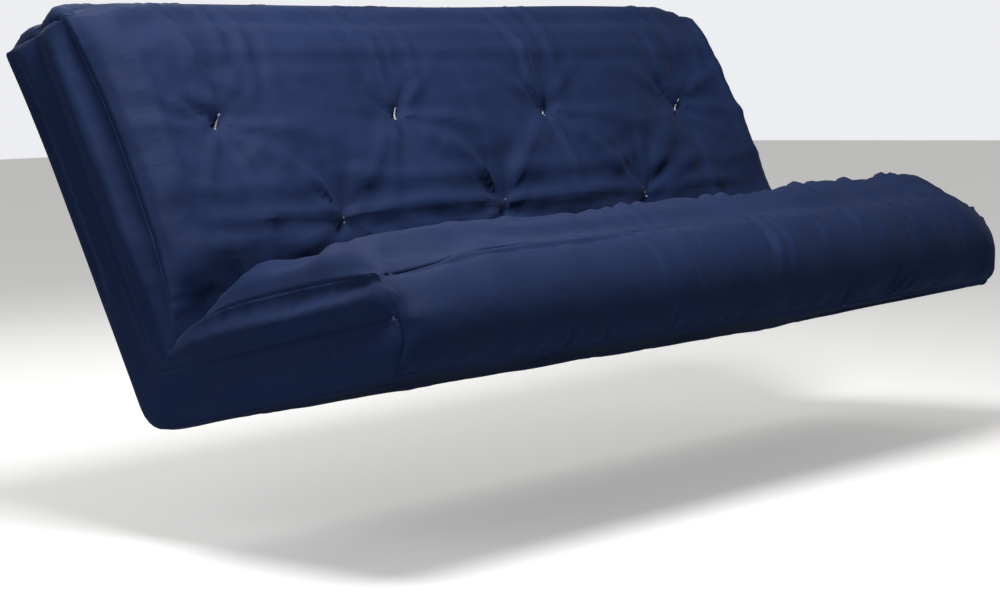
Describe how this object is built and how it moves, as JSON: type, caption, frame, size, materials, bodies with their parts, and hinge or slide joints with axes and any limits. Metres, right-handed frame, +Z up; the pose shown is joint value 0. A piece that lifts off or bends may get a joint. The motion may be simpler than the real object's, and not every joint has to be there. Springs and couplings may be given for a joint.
{
  "type": "futon mattress",
  "caption": "Tufted futon mattress in dark blue twill, folded to a sofa shape and opening flat to a bed, with a closing zip along its ends and head.",
  "frame": {"origin": "centre of the seat half's flat underside", "axes": "+X along the mattress's width, towards the right-hand end as seen from in front; +Y towards the back half; +Z up. The seat is tilted 12.5 degrees, front edge up, as it lies in a sofa frame"},
  "size_m": [1.9143, 1.0304, 0.7697],
  "materials": {
    "twill": "matte cotton twill, dark navy blue",
    "batting": "matte cotton and polyester batting",
    "foam": "open-cell polyurethane foam",
    "zip_tape": "woven navy tape with a moulded coil chain",
    "twine": "off-white waxed tufting twine",
    "zip_metal": "nickel-plated, slightly dulled"
  },
  "bodies": {
    "seat": {"seat_face_panel": "twill", "seat_under_panel": "twill", "front_boxing": "twill", "seat_lower_batting": "batting", "seat_foam_core": "foam", "seat_upper_batting": "batting", "seat_left_boxing_lower": "twill", "seat_left_boxing_upper": "twill", "seat_zip_left": "zip_tape", "zip_stop_left": "zip_metal", "seat_right_boxing_lower": "twill", "seat_right_boxing_upper": "twill", "seat_zip_right": "zip_tape", "zip_stop_right": "zip_metal", "tuft_front_1": "twine", "tuft_front_2": "twine", "tuft_front_3": "twine", "tuft_front_4": "twine", "tuft_seat_1": "twine", "tuft_seat_2": "twine", "tuft_seat_3": "twine", "tuft_fold_1": "twine", "tuft_fold_2": "twine", "tuft_fold_3": "twine", "tuft_fold_4": "twine"},
    "back": {"back_face_panel": "twill", "back_rear_panel": "twill", "head_boxing_lower": "twill", "head_boxing_upper": "twill", "zip_head": "zip_tape", "back_lower_batting": "batting", "back_foam_core": "foam", "back_upper_batting": "batting", "back_left_boxing_lower": "twill", "back_left_boxing_upper": "twill", "back_zip_left": "zip_tape", "back_right_boxing_lower": "twill", "back_right_boxing_upper": "twill", "back_zip_right": "zip_tape", "tuft_back_1": "twine", "tuft_back_2": "twine", "tuft_back_3": "twine", "tuft_head_1": "twine", "tuft_head_2": "twine", "tuft_head_3": "twine", "tuft_head_4": "twine"},
    "slider": {"zip_slider": "zip_metal"},
    "pull": {"zip_pull": "zip_metal"}
  },
  "joints": [
    {"name": "fold", "type": "hinge", "parent": "seat", "child": "back", "pos_m": [0, 0.3215, -0.00982], "axis": [-1, 0, 0], "range_deg": [0, 74.5]},
    {"name": "zip_run", "type": "slide", "parent": "seat", "child": "slider", "axis": [0, 0.9763, -0.2164], "range_m": [0, 0.53]},
    {"name": "pull_swing", "type": "hinge", "parent": "slider", "child": "pull", "pos_m": [0.9574, -0.26754, 0.16174], "axis": [0, -0.2164, -0.9763], "range_deg": [0, 170]}
  ]
}
